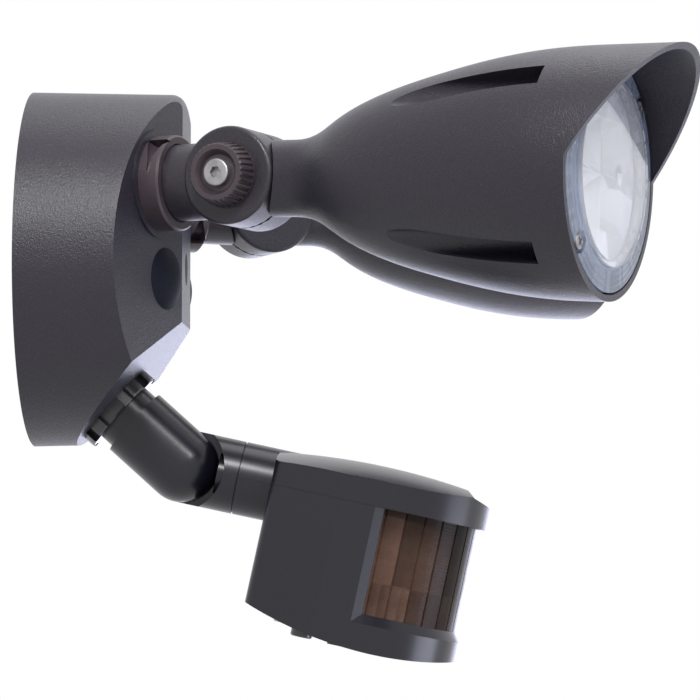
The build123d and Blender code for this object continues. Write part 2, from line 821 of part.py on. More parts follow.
def crown(inset):
    """Doubly curved top: the arch spun about an axis along the head, far under it."""
    rise = head_top - inset
    face = arch_face(rise, head_top_centre, top_arch_radius, top_crown_radius)
    return revolve(face, Axis((0, 0, rise - top_crown_radius), (1, 0, 0)))


def outline_prism(inset, arc_centre):
    prism = Pos(0, 0, -FAR / 2) * extrude(head_outline(inset, arc_centre), FAR)
    if inset == 0:
        rear = prism.edges().filter_by(Axis.Z).sort_by(Axis.X)[:2]
        prism = fillet(rear, head_corner_round)
    return prism


def upper_form(inset):
    return outline_prism(inset, brow_centre) & crown(inset) & upper_block()


def lower_form(inset):
    face = arch_face(head_bottom - inset, head_bottom_centre, bottom_arch_radius, head_bottom - inset)
    belly = Rot(180, 0, 0) * extrude(face, FAR, both=True)
    return outline_prism(inset, head_arc_centre) & belly


def along_neck(radius, start, end):
    return Pos(start, 0, 0) * Rot(0, 90, 0) * rod(radius, 0, end - start)


def upper_block():
    return Box(FAR * 2, FAR * 2, FAR, align=UPWARD)


def lower_block():
    return Box(FAR * 2, FAR * 2, FAR, align=DOWNWARD)


neck_start = elbow_length + turn_gap
neck_end = head_rear + neck_overlap
brow_centre = head_arc_centre + brow_reach
brow_front = brow_centre + head_half_width
shell_screw_side = half_width_at(shell_screw_position, 0) - shell_screw_edge
screw_spots = [(shell_screw_position, side * shell_screw_side) for side in (-1, 1)]
screw_seat = -(head_bottom - shell_screw_sink)
screw_end = head_top - shell_screw_cover


def brow_step():
    """What is cut off above the brow: a gentle slope behind the lip, then a steep shoulder."""
    lip = (brow_front, brow_lip_height)
    corner = (brow_front - brow_depth, brow_corner_height)
    slope = (brow_corner_height - brow_lip_height) / brow_depth
    beyond = (brow_front + FAR, brow_lip_height - slope * FAR)
    shoulder = (corner[0] - FAR, corner[1] + FAR)
    outline = Polyline(corner, lip, beyond, (brow_front + FAR, FAR), shoulder, close=True)
    return extrude(Plane.XZ * make_face(outline), FAR, both=True)


def neck_shell():
    """Neck with an end wall round the turning pin, and its bore."""
    tube = along_neck(sensor_neck_radius, neck_start, neck_end)
    bore = along_neck(sensor_neck_radius - sensor_wall, neck_start + sensor_wall, neck_end + 1)
    bore += along_neck(turn_pin_radius, neck_start - 1, neck_end)
    return tube, bore


def make_sensor_upper_shell():
    tube, bore = neck_shell()
    form = upper_form(0) - brow_step()
    hollow = upper_form(sensor_wall) - Pos(-2 * sensor_wall, 0, -sensor_wall) * brow_step()
    body = form + (tube & upper_block()) - hollow - bore
    for x, y in screw_spots:
        body += Pos(x, y, 0) * rod(shell_post_radius, 0, FAR) & form
        body -= Pos(x, y, 0) * rod(shell_screw_radius, -1, screw_end)
    window = Pos(photocell_position, 0, 0) * rod(photocell_radius, 0, FAR)
    return body - window


def window_cut():
    """Lens opening with a bevelled frame, round the front and along both sides."""
    reach = head_half_width * 2
    wall_inside = head_half_width - sensor_wall
    spread = window_bevel / sensor_wall
    low = window_height + (reach - wall_inside) * spread
    section = make_face(Polyline((0, 1), (reach, 1), (reach, -low), (wall_inside, -window_height),
                                 (0, -window_height), close=True))
    front = revolve(Rot(90, 0, 0) * section, Axis.Z)
    front &= Box(FAR, FAR, FAR, align=(Align.MIN, Align.CENTER, Align.CENTER))
    back = head_arc_centre - window_start
    bar = extrude(Plane.YZ * section, -FAR)
    plan = Polyline((0, 0), (0, reach), (-back - (reach - wall_inside) * spread, reach),
                    (-back, wall_inside), (-back, 0), close=True)
    side = bar & (Pos(0, 0, -FAR / 2) * extrude(make_face(plan), FAR))
    return Pos(head_arc_centre, 0, 0) * (front + side + mirror(side, about=Plane.XZ))


def make_sensor_lower_shell():
    tube, bore = neck_shell()
    form = lower_form(0)
    body = form + (tube & lower_block()) - lower_form(sensor_wall) - bore
    body -= window_cut()
    for x, y in screw_spots:
        body += Pos(x, y, 0) * rod(shell_post_radius, -FAR, 0) & form
        body -= Pos(x, y, 0) * rod(shell_screw_radius, -FAR, 1)
        body -= Pos(x, y, 0) * rod(shell_screw_head_radius, -FAR, screw_seat)
    for side in (-1, 1):
        place = Pos(switch_position, side * board_post_side, 0)
        post = place * rod(board_post_radius, -FAR, control_board_level)
        body += post & form
    body -= Pos(dial_position, 0, 0) * rod(dial_radius + clear_gap, -FAR, -head_bottom / 2)
    slot = Box(switch_length + switch_travel + 2 * clear_gap, switch_width + 2 * clear_gap, FAR,
               align=DOWNWARD)
    return body - Pos(switch_position, 0, -head_bottom / 2) * slot


def lens_section(radius, back, low, high):
    """Upright wall: a half circle in front, then straight back along both sides."""
    block = Pos(0, 0, low) * rod(radius, 0, high - low)
    block += Pos(0, 0, low) * Box(back, 2 * radius, high - low,
                                  align=(Align.MAX, Align.CENTER, Align.MIN))
    return block & Pos(-back, 0, low) * Box(FAR, FAR, FAR, align=(Align.MIN, Align.CENTER, Align.MIN))


sensor_lens_radius = head_half_width - sensor_wall - sensor_lens_gap


def make_sensor_lens():
    """Ribbed lens tucked behind its frame: upright strips, and a row of short ones below."""
    low = -(window_height + sensor_lens_tab)
    back = head_arc_centre - window_start + sensor_lens_tab
    outer = lens_section(sensor_lens_radius, back, low, sensor_lens_tab)
    inner = lens_section(sensor_lens_radius - sensor_lens_wall, back + 1, low - 1, sensor_lens_tab + 1)
    body = outer - inner
    for i in range(sensor_lens_ribs + 1):
        angle = -90 + 180 * i / sensor_lens_ribs
        groove = Rot(0, 0, angle) * Pos(sensor_lens_radius, 0, low) * Rot(0, 0, 45)
        body -= groove * Box(lens_groove, lens_groove, FAR, align=UPWARD)
    return Pos(head_arc_centre, 0, 0) * body


def make_neck_pin():
    """Hollow pin on which the sensor head turns in the elbow, held by a flange in the neck."""
    body = along_neck(turn_pin_radius, elbow_length - turn_pin_length + hidden_gap, neck_end)
    flange_start = neck_start + sensor_wall
    body += along_neck(sensor_neck_radius - sensor_wall, flange_start, flange_start + sensor_wall)
    return body - along_neck(wire_hole_radius, 0, FAR)


def make_sensor_board():
    width = 2 * half_width_at(board_position - sensor_board_thickness, sensor_wall)
    low = control_board_level + sensor_board_thickness + board_bottom_gap
    high = head_top - sensor_wall - board_top_gap
    board = Box(sensor_board_thickness, width, high - low, align=(Align.MAX, Align.CENTER, Align.MIN))
    return Pos(board_position, 0, low) * board


def make_pir_detector():
    can = along_neck(pir_radius, 0, pir_height)
    can += along_neck(pir_radius + pir_flange_width, 0, pir_flange_height)
    return Pos(board_position, 0, -window_height / 2) * can


def make_photocell_window():
    plug = Pos(photocell_position, 0, 0) * rod(photocell_radius, head_top - photocell_depth, FAR)
    return plug & crown(photocell_sink)


def make_control_board():
    board = Pos(control_board_middle, 0, control_board_level)
    width = 2 * (board_post_side + board_post_radius)
    board *= Box(control_board_length, width, sensor_board_thickness, align=UPWARD)
    board -= Pos(dial_position, 0, 0) * rod(dial_shaft_radius + running_gap, -FAR, FAR)
    shaft = 2 * dial_shaft_radius
    slot = Box(switch_travel + shaft + 2 * clear_gap, shaft + clear_gap, FAR, align=CENTRED)
    return board - Pos(switch_position, 0, control_board_level) * slot


def control_bottom(position):
    """Level of the head's underside on its middle line."""
    across = position - head_bottom_centre
    drop = bottom_arch_radius - math.sqrt(bottom_arch_radius ** 2 - across ** 2)
    return -(head_bottom - drop)


def control_shaft():
    """Thin shaft that carries a control through the board above it."""
    start = control_board_level - dial_shaft_radius
    return rod(dial_shaft_radius, start, start + dial_shaft_length)


def make_range_dial():
    bottom = control_bottom(dial_position)
    body = rod(dial_radius, bottom - dial_height, control_board_level - hidden_gap)
    body = chamfer(body.edges().sort_by(Axis.Z)[0], dial_edge)
    body -= Pos(0, 0, bottom - dial_height) * Box(FAR, dial_slot_width, dial_slot_depth * 2)
    body += control_shaft()
    return Pos(dial_position, 0, 0) * body


def make_mode_switch():
    bottom = control_bottom(switch_position)
    height = control_board_level - hidden_gap - (bottom - switch_height)
    body = Box(switch_length, switch_width, height, align=UPWARD)
    body = fillet(body.edges().filter_by(Axis.Z), switch_round)
    body = Pos(0, 0, bottom - switch_height) * body
    body += control_shaft()
    return Pos(switch_position, 0, 0) * body


def make_shell_screws():
    low = screw_seat - shell_screw_head_height
    screw = rod(shell_screw_radius, screw_seat, screw_end)
    head = rod(shell_screw_head_radius, low, screw_seat)
    head -= Pos(0, 0, low) * cross_slot(shell_screw_head_radius, shell_screw_head_height / 2)
    return Compound([Pos(x, y, 0) * (screw + head) for x, y in screw_spots])


# ------------------------------------------------------------------ assembly
def lamp_parts(tilt):
    """One lamp on the left side, with its head tilted from the stem by an angle."""
    head = head_frame(tilt)
    return {
        "locknut": make_locknut(),
        "arm": make_arm(),
        "knob": make_knob(),
        "pivot_bolt": make_pivot_bolt(),
        "pivot_nut": head * make_pivot_nut(),
        "head_shroud": head * make_head_shroud(),
        "lamp_core": head * drill_core(make_lamp_core()),
        "led_board": head * make_led_board(),
        "reflector": head * make_reflector(),
        "lens_gasket": head * make_lens_gasket(),
        "lens": head * make_lens(),
        "lens_screws": head * make_lens_screws(),
    }


parts = {
    "housing": make_housing(),
    "wall_gasket": make_wall_gasket(),
    "mounting_plate": make_mounting_plate(),
    "ground_screw": make_ground_screw(),
    "centre_bolt": make_centre_bolt(),
    "centre_cap": make_centre_cap(),
    "led_driver": make_led_driver(),
    "driver_screws": make_driver_screws(),
    "left_plug": make_plug(),
    "right_plug": mirror(make_plug(), about=Plane.YZ),
}
for name, shape in lamp_parts(left_tilt).items():
    parts["left_" + name] = shape
for name, shape in lamp_parts(right_tilt).items():
    parts["right_" + name] = mirror(shape, about=Plane.YZ)

parts["sensor_locknut"] = make_sensor_locknut()
parts["swivel_base"] = make_swivel_base()
parts["swivel_elbow"] = make_swivel_elbow()
parts["swivel_screw"] = make_swivel_screw()
head_parts = {
    "sensor_upper_shell": make_sensor_upper_shell(),
    "sensor_lower_shell": make_sensor_lower_shell(),
    "sensor_lens": make_sensor_lens(),
    "neck_pin": make_neck_pin(),
    "sensor_board": make_sensor_board(),
    "pir_detector": make_pir_detector(),
    "photocell_window": make_photocell_window(),
    "control_board": make_control_board(),
    "range_dial": make_range_dial(),
    "mode_switch": make_mode_switch(),
    "shell_screws": make_shell_screws(),
}
for name, shape in head_parts.items():
    parts[name] = sensor_head_frame * shape

os.makedirs("parts", exist_ok=True)
for name, shape in parts.items():
    export_step(shape, "parts/" + name + ".step")
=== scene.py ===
import json
import math
import bmesh
import bpy
from mathutils import Matrix, Vector


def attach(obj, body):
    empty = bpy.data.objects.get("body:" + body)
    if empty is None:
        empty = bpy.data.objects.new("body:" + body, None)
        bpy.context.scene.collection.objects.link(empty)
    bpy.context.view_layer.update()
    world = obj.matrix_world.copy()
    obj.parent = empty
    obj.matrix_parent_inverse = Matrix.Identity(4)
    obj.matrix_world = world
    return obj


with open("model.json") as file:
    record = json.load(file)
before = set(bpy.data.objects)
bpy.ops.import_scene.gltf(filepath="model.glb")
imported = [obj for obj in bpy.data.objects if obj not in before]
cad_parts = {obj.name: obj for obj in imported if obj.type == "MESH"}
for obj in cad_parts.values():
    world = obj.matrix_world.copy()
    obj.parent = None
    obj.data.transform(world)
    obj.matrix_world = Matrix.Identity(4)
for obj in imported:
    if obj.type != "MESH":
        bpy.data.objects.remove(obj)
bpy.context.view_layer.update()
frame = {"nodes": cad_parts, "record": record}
nodes = frame["nodes"]


# ------------------------------------------------------------------ camera
CAMERA_PLACE = Vector((-1.16612, -0.15319, -0.11133))
CAMERA_FORWARD = Vector((0.9974, 0.0246, 0.0678))
CAMERA_LENS = 152.38
CAMERA_FILM = 36.0
CAMERA_NEAREST, CAMERA_FARTHEST = 0.01, 50.0


def aimed(place, direction):
    """Where a camera or lamp stands, and its turn to look along a direction."""
    turn = direction.to_track_quat("-Z", "Y").to_matrix().to_4x4()
    return Matrix.Translation(place) @ turn


camera_data = bpy.data.cameras.new("camera")
camera_data.lens = CAMERA_LENS
camera_data.sensor_width = CAMERA_FILM
camera_data.clip_start = CAMERA_NEAREST
camera_data.clip_end = CAMERA_FARTHEST
camera = bpy.data.objects.new("camera", camera_data)
camera.matrix_world = aimed(CAMERA_PLACE, CAMERA_FORWARD)
bpy.context.collection.objects.link(camera)
bpy.context.scene.camera = camera
bpy.context.scene.view_settings.view_transform = "Standard"


# ------------------------------------------------------------------ material helpers
def colour_of(value):
    """A colour with its alpha, from a grey, three channels or four."""
    if isinstance(value, (int, float)):
        return (value, value, value, 1.0)
    return tuple(value) + (1.0,) if len(value) == 3 else tuple(value)


def scaled(colour, factor):
    """A colour made lighter or darker."""
    return tuple(channel * factor for channel in colour)


def by_ray(tree, kinds, others, chosen, target):
    """Shows one shader to rays of the named kinds, and another to all other rays."""
    path = tree.nodes.new("ShaderNodeLightPath")
    factor = path.outputs[kinds[0]]
    for kind in kinds[1:]:
        either = tree.nodes.new("ShaderNodeMath")
        either.operation = "MAXIMUM"
        tree.links.new(factor, either.inputs[0])
        tree.links.new(path.outputs[kind], either.inputs[1])
        factor = either.outputs["Value"]
    shown = tree.nodes.new("ShaderNodeMixShader")
    tree.links.new(factor, shown.inputs["Fac"])
    tree.links.new(others, shown.inputs[1])
    tree.links.new(chosen, shown.inputs[2])
    tree.links.new(shown.outputs["Shader"], target)


class Recipe:
    """A material with a Principled shader and short names for the nodes that feed it."""

    def __init__(self, name):
        self.material = bpy.data.materials.new(name)
        self.material.use_nodes = True
        self.tree = self.material.node_tree
        self.shader = self.tree.nodes["Principled BSDF"]
        self.surface = self.tree.nodes["Material Output"].inputs["Surface"]
        self.place = self.add("ShaderNodeTexCoord").outputs["Object"]
        self.normal = None

    def add(self, kind, **settings):
        node = self.tree.nodes.new(kind)
        for key, value in settings.items():
            setattr(node, key, value)
        return node

    def link(self, source, target):
        self.tree.links.new(source, target)

    def set(self, **values):
        """Sets inputs of the shader, with _ for the spaces in their names."""
        for key, value in values.items():
            self.shader.inputs[key.replace("_", " ")].default_value = value

    def feed(self, name, source):
        self.link(source, self.shader.inputs[name])

    def colour(self, source):
        self.feed("Base Color", source)

    def roughness(self, source):
        self.feed("Roughness", source)

    def noise(self, scale, detail=2.0, roughness=0.5, stretch=None):
        node = self.add("ShaderNodeTexNoise")
        node.inputs["Scale"].default_value = scale
        node.inputs["Detail"].default_value = detail
        node.inputs["Roughness"].default_value = roughness
        self.link(self.stretched(stretch), node.inputs["Vector"])
        return node.outputs["Fac"]

    def stretched(self, stretch):
        """The object's coordinates, scaled by axis if a stretch is given."""
        if stretch is None:
            return self.place
        node = self.add("ShaderNodeMapping")
        node.inputs["Scale"].default_value = stretch
        self.link(self.place, node.inputs["Vector"])
        return node.outputs["Vector"]

    def cells(self, scale):
        node = self.add("ShaderNodeTexVoronoi")
        node.inputs["Scale"].default_value = scale
        self.link(self.place, node.inputs["Vector"])
        return node.outputs["Distance"]

    def ramp(self, source, *stops):
        """Maps a value to greys or colours: stops are (position, grey or colour)."""
        node = self.add("ShaderNodeValToRGB")
        elements = node.color_ramp.elements
        while len(elements) < len(stops):
            elements.new(0.5)
        for element, (position, colour) in zip(elements, stops):
            element.position = position
            element.color = colour_of(colour)
        self.link(source, node.inputs["Fac"])
        return node.outputs["Color"]

    def sway(self, noise, low, high, start=0.3, end=0.7):
        """Two greys or colours and what is between them, over the middle range of a noise."""
        return self.ramp(noise, (start, low), (end, high))

    def math(self, operation, *values):
        node = self.add("ShaderNodeMath", operation=operation)
        for socket, value in zip(node.inputs, values):
            if isinstance(value, (int, float)):
                socket.default_value = value
            else:
                self.link(value, socket)
        return node.outputs["Value"]

    def product(self, *values):
        total = values[0]
        for value in values[1:]:
            total = self.math("MULTIPLY", total, value)
        return total

    def mix(self, factor, first, second, blend="MIX"):
        node = self.add("ShaderNodeMix", data_type="RGBA", blend_type=blend)
        for name, value in (("Factor", factor), ("A", first), ("B", second)):
            socket = next(s for s in node.inputs if s.name == name and s.enabled)
            if isinstance(value, (int, float)) and name == "Factor":
                socket.default_value = value
            elif isinstance(value, (int, float, tuple)):
                socket.default_value = colour_of(value)
            else:
                self.link(value, socket)
        return next(s for s in node.outputs if s.name == "Result" and s.enabled)

    def local(self, place, *axes):
        """Distances from a place along fixed directions of the object."""
        moved = self.add("ShaderNodeVectorMath", operation="SUBTRACT")
        self.link(self.place, moved.inputs[0])
        moved.inputs[1].default_value = place
        distances = []
        for axis in axes:
            dot = self.add("ShaderNodeVectorMath", operation="DOT_PRODUCT")
            self.link(moved.outputs["Vector"], dot.inputs[0])
            dot.inputs[1].default_value = axis
            distances.append(dot.outputs["Value"])
        return distances

    def length(self, x, y):
        return self.math("SQRT", self.math("ADD", self.product(x, x), self.product(y, y)))

    def span(self, source, low, high, start=0.0, end=1.0, shape="LINEAR"):
        """Maps low..high of a value to start..end and holds it beyond."""
        node = self.add("ShaderNodeMapRange", interpolation_type=shape)
        ends = {"From Min": low, "From Max": high, "To Min": start, "To Max": end}
        for name, value in ends.items():
            node.inputs[name].default_value = value
        self.link(source, node.inputs["Value"])
        return node.outputs["Result"]

    def between(self, source, low, high, soft):
        """1 where a value lies between two limits, 0 elsewhere."""
        rise = self.span(source, low - soft, low + soft)
        fall = self.span(source, high - soft, high + soft, 1.0, 0.0)
        return self.product(rise, fall)

    def random(self, source):
        node = self.add("ShaderNodeTexWhiteNoise", noise_dimensions="1D")
        self.link(source, node.inputs["W"])
        return node.outputs["Value"]

    def bump(self, height, distance, strength):
        """Adds a relief to the surface, over the ones that were added before it."""
        node = self.add("ShaderNodeBump")
        node.inputs["Distance"].default_value = distance
        node.inputs["Strength"].default_value = strength
        self.link(height, node.inputs["Height"])
        if self.normal is not None:
            self.link(self.normal, node.inputs["Normal"])
        self.normal = node.outputs["Normal"]
        self.feed("Normal", self.normal)


# ------------------------------------------------------------------ frames of lamps and sensor
joints = {joint["name"]: joint for joint in frame["record"]["behaviour"]["joints"]}
LAMP_ANGLE = math.radians(24.0)
LAMP_TILT = {"left": math.radians(-2.3), "right": math.radians(2.1)}
WINDOW_RADIUS = 0.0336
WINDOW_EDGE_INSIDE, WINDOW_EDGE_OUTSIDE = 0.0004, 0.0006
FLANGE_RING_PITCH = 0.0022
BOARD_TOP = 0.1342
CHIP_START, CHIP_FULL = 0.0003, 0.0005
REFLECTOR_FACETS = 12
# In facets: the fraction turns their edges, and the whole part picks which random painted shades
# they get.
REFLECTOR_TURN = 20.35


def lamp_frame(side):
    """Pivot, two cross directions and the axis of a lamp head."""
    sign = -1.0 if side == "left" else 1.0
    level = Vector((sign * math.sin(LAMP_ANGLE), -math.cos(LAMP_ANGLE), 0.0))
    tilt = LAMP_TILT[side]
    axis = level * math.cos(tilt) + Vector((0.0, 0.0, math.sin(tilt)))
    inward = Vector((-sign * math.cos(LAMP_ANGLE), -math.sin(LAMP_ANGLE), 0.0))
    return joints[side + "_head_tilt"]["pos_m"], inward, axis.cross(inward), axis


SENSOR_PIVOT = joints["sensor_knuckle_tilt"]["pos_m"]
SENSOR_FORWARD = Vector(joints["sensor_head_turn"]["axis"])
SENSOR_ACROSS = Vector((1.0, 0.0, 0.0))
SENSOR_UP = Vector((0.0, SENSOR_FORWARD.z, -SENSOR_FORWARD.y))
SEAM_HALF_WIDTH, SEAM_SOFTNESS = 0.00016, 0.00008

SENSOR_LENS_CENTRE = 0.083
SENSOR_LENS_STRIPS = 14
SENSOR_LENS_RIDGE_PITCH = 0.0012
LOW_ROW_FULL, LOW_ROW_START = -0.0285, -0.0280
# Added to the numbers of the low row's strips, so that they get other random tones.
LOW_ROW_NUMBER = 40.0
# Painted shade on the sensor lens: where its top darkens, and the angles at which its front
# darkens.
LENS_TOP_DARK, LENS_TOP_CLEAR = -0.002, -0.018
LENS_FRONT_ANGLE, LENS_SIDE_ANGLE = 0.7, 1.4


# ------------------------------------------------------------------ materials
def powder_coat(name, colour, depth=1.0, roughness=0.43):
    """Sand-textured powder coat: fine rounded grains over a soft orange-peel, faintly mottled.

    The clear layer follows the grains too, or its shine would look smooth.
    """
    recipe = Recipe(name)
    grain = recipe.noise(1750, detail=2.0, roughness=0.6)
    peel = recipe.noise(620, detail=1.0)
    mottle = recipe.noise(34, detail=3.0)
    dark, light = scaled(colour, 0.66), scaled(colour, 1.55)
    tone = recipe.ramp(grain, (0.30, dark), (0.50, colour), (0.70, light))
    recipe.colour(recipe.mix(1.0, tone, recipe.sway(mottle, 0.94, 1.0), "MULTIPLY"))
    recipe.roughness(recipe.sway(grain, roughness + 0.07, roughness - 0.07))
    recipe.bump(peel, distance=0.00016 * depth, strength=0.4)
    recipe.bump(grain, distance=0.00020 * depth, strength=0.9)
    recipe.feed("Coat Normal", recipe.normal)
    recipe.set(Specular_IOR_Level=0.3)
    recipe.set(Sheen_Weight=0.08, Sheen_Roughness=0.35, Sheen_Tint=(0.66, 0.66, 1.0, 1.0))
    recipe.set(Coat_Weight=0.34, Coat_Roughness=0.28, Coat_Tint=(0.90, 0.90, 1.0, 1.0))
    return recipe.material


def moulded(name, colour, roughness, gloss=0.0, specular=0.5):
    """Moulded plastic with a fine spark-eroded skin and slight colour drift."""
    recipe = Recipe(name)
    skin = recipe.noise(900, detail=2.0)
    drift = recipe.noise(30, detail=4.0)
    recipe.colour(recipe.sway(drift, scaled(colour, 0.9), scaled(colour, 1.1)))
    recipe.roughness(recipe.sway(drift, roughness * 0.85, roughness * 1.2, 0.25, 0.75))
    recipe.bump(skin, distance=0.00003, strength=0.6)
    recipe.set(Coat_Weight=gloss, Coat_Roughness=0.14, Specular_IOR_Level=specular)
    return recipe.material


def shell_plastic(name, colour, roughness, parted=True):
    """Smooth satin plastic; parted adds the sensor shells' parting line at the neck's level."""
    recipe = Recipe(name)
    skin = recipe.noise(1500, detail=2.0)
    drift = recipe.noise(22, detail=3.0)
    tone = recipe.sway(skin, scaled(colour, 0.92), scaled(colour, 1.08))
    if parted:
        (up,) = recipe.local(SENSOR_PIVOT, SENSOR_UP)
        seam = recipe.between(up, -SEAM_HALF_WIDTH, SEAM_HALF_WIDTH, SEAM_SOFTNESS)
        tone = recipe.mix(seam, tone, scaled(colour, 0.12))
        recipe.bump(recipe.math("SUBTRACT", 1.0, seam), distance=0.0003, strength=0.8)
    recipe.colour(tone)
    recipe.roughness(recipe.sway(drift, roughness * 0.9, roughness * 1.12, 0.25, 0.75))
    recipe.bump(skin, distance=0.00002, strength=0.5)
    recipe.set(Coat_Weight=0.75, Coat_Roughness=0.27, Coat_Tint=(0.92, 0.92, 1.0, 1.0))
    recipe.set(Specular_IOR_Level=0.1)
    return recipe.material


def turned_metal(name, colour, roughness, rings=5200):
    """Machined or plated steel with fine tool marks and darker pits."""
    recipe = Recipe(name)
    marks = recipe.noise(rings, detail=2.0, stretch=(1.0, 0.15, 1.0))
    wear = recipe.noise(260, detail=4.0)
    recipe.colour(recipe.sway(wear, scaled(colour, 0.72), colour, 0.28, 0.6))
    recipe.roughness(recipe.sway(wear, roughness * 1.5, roughness * 0.8, 0.25, 0.75))
    recipe.bump(marks, distance=0.00002, strength=0.5)
    recipe.set(Metallic=1.0)
    return recipe.material


def lamp_lens(side):
    """Clear polycarbonate: polished window, frosted flange with moulded rings.

    Shadow rays pass it as plain tinted air, so that the lamps light the reflector behind it.
    """
    recipe = Recipe(side + "_lens")
    pivot, inward, upward, _ = lamp_frame(side)
    radius = recipe.length(*recipe.local(pivot, inward, upward))
    flange = recipe.span(radius, WINDOW_RADIUS - WINDOW_EDGE_INSIDE,
                         WINDOW_RADIUS + WINDOW_EDGE_OUTSIDE)
    clear, frosted = (0.91, 0.92, 0.955), (0.30, 0.35, 0.46)
    recipe.colour(recipe.mix(flange, clear, frosted))
    haze = recipe.noise(70, detail=3.0)
    polish = recipe.sway(haze, 0.02, 0.06, end=0.75)
    frost = recipe.sway(haze, 0.14, 0.20, end=0.75)
    recipe.roughness(recipe.mix(flange, polish, frost))
    recipe.feed("Transmission Weight", recipe.span(flange, 0.0, 1.0, 0.84, 0.55))
    recipe.set(IOR=1.49)
    recipe.bump(haze, distance=0.00003, strength=0.1)
    rings = recipe.math("SINE", recipe.product(radius, 2 * math.pi / FLANGE_RING_PITCH))
    recipe.bump(recipe.product(rings, flange), distance=0.0002, strength=0.3)
    passing = recipe.add("ShaderNodeBsdfTransparent")
    passing.inputs["Color"].default_value = (0.88, 0.89, 0.90, 1.0)
    by_ray(recipe.tree, ["Is Shadow Ray"], recipe.shader.outputs["BSDF"],
           passing.outputs["BSDF"], recipe.surface)
    return recipe.material


def reflector(side):
    """Bright white reflector; painted shade makes each broad wedge round the axis lighter or
    darker, with a gradient across it.
    """
    recipe = Recipe(side + "_reflector")
    pivot, inward, upward, _ = lamp_frame(side)
    x, y = recipe.local(pivot, inward, upward)
    turn = recipe.product(recipe.math("ARCTAN2", y, x), REFLECTOR_FACETS / (2 * math.pi))
    turn = recipe.math("ADD", turn, REFLECTOR_TURN)
    # Painted shade: each facet gets a random tone, and a gradient runs across it.
    facet_shade = recipe.random(recipe.math("FLOOR", turn))
    slope = recipe.math("FRACT", turn)
    light = recipe.math("ADD", facet_shade, recipe.product(slope, 0.5))
    grey, white = (0.52, 0.52, 0.52), (0.88, 0.88, 0.89)
    recipe.colour(recipe.mix(recipe.span(light, 0.2, 1.3), grey, white))
    recipe.roughness(recipe.sway(recipe.noise(60, detail=3.0), 0.22, 0.32))
    recipe.bump(slope, distance=0.004, strength=0.5)
    return recipe.material


def smoked_lens(name):
    """Smoky brown polyethylene of the sensor's lens.

    Each strip has its own tone, and strips half as wide make a row along the foot. Fine level
    ridges cross them. Painted shade runs as a gradient across each strip, and makes the whole
    darker towards the front and the top, alike on both sides.
    """
    recipe = Recipe(name)
    forward, across, up = recipe.local(SENSOR_PIVOT, SENSOR_FORWARD, SENSOR_ACROSS, SENSOR_UP)
    turn = recipe.math("ARCTAN2", across, recipe.math("SUBTRACT", forward, SENSOR_LENS_CENTRE))
    strip = recipe.product(recipe.math("ADD", turn, math.pi / 2), SENSOR_LENS_STRIPS / math.pi)
    low_row = recipe.span(up, LOW_ROW_FULL, LOW_ROW_START, 1.0, 0.0)
    strip = recipe.product(strip, recipe.math("ADD", low_row, 1.0))
    row_number = recipe.product(low_row, LOW_ROW_NUMBER)
    number = recipe.math("ADD", recipe.math("FLOOR", strip), row_number)
    # Painted shade: a gradient across each strip, and darker towards the front and the top; the
    # first factor is each strip's random tone.
    shade = recipe.product(
        recipe.span(recipe.random(number), 0.0, 1.0, 0.55, 1.25),
        recipe.span(recipe.math("FRACT", strip), 0.0, 1.0, 0.72, 1.22),
        recipe.span(recipe.math("ABSOLUTE", turn), LENS_FRONT_ANGLE, LENS_SIDE_ANGLE, 0.30, 1.1),
        recipe.span(up, LENS_TOP_DARK, LENS_TOP_CLEAR, 0.38, 1.0, "SMOOTHSTEP"))
    cloud = recipe.noise(120, detail=3.0)
    brown = recipe.sway(cloud, (0.100, 0.055, 0.040), (0.135, 0.080, 0.060))
    recipe.colour(recipe.mix(1.0, brown, shade, "MULTIPLY"))
    recipe.roughness(recipe.sway(cloud, 0.24, 0.34))
    level = recipe.math("FRACT", recipe.product(up, 1 / SENSOR_LENS_RIDGE_PITCH))
    ridges = recipe.math("ABSOLUTE", recipe.math("SUBTRACT", level, 0.5))
    recipe.bump(ridges, distance=0.00008, strength=0.35)
    recipe.set(Transmission_Weight=0.06, IOR=1.45, Specular_IOR_Level=0.08)
    return recipe.material


def foam(name, colour):
    """Closed-cell foam with small dark pores."""
    recipe = Recipe(name)
    pores = recipe.cells(1600)
    recipe.colour(recipe.sway(pores, scaled(colour, 0.4), colour, 0.1, 0.6))
    recipe.roughness(recipe.sway(pores, 1.0, 0.85, 0.1, 0.6))
    recipe.bump(pores, distance=0.0002, strength=0.8)
    return recipe.material


def clear_plastic(name, tint):
    """Clear tinted plastic with a faint haze and a slightly wavy face."""
    recipe = Recipe(name)
    haze = recipe.noise(70, detail=3.0)
    recipe.roughness(recipe.sway(haze, 0.03, 0.09, end=0.75))
    recipe.bump(recipe.noise(55, detail=1.0), distance=0.00004, strength=0.4)
    recipe.set(Base_Color=colour_of(tint), Transmission_Weight=0.8, IOR=1.5)
    return recipe.material


def circuit_board(name, colour, copper):
    """Solder mask over copper traces, seen as a slightly lighter relief."""
    recipe = Recipe(name)
    traces = recipe.add("ShaderNodeTexBrick")
    traces.inputs["Scale"].default_value = 260.0
    traces.inputs["Mortar Size"].default_value = 0.03
    traces.inputs["Color1"].default_value = colour_of(colour)
    traces.inputs["Color2"].default_value = colour_of(scaled(colour, 0.85))
    traces.inputs["Mortar"].default_value = colour_of(copper)
    recipe.link(recipe.place, traces.inputs["Vector"])
    recipe.colour(traces.outputs["Color"])
    recipe.roughness(recipe.sway(recipe.noise(300), 0.32, 0.45))
    recipe.bump(traces.outputs["Fac"], distance=0.00003, strength=0.5)
    return recipe.material


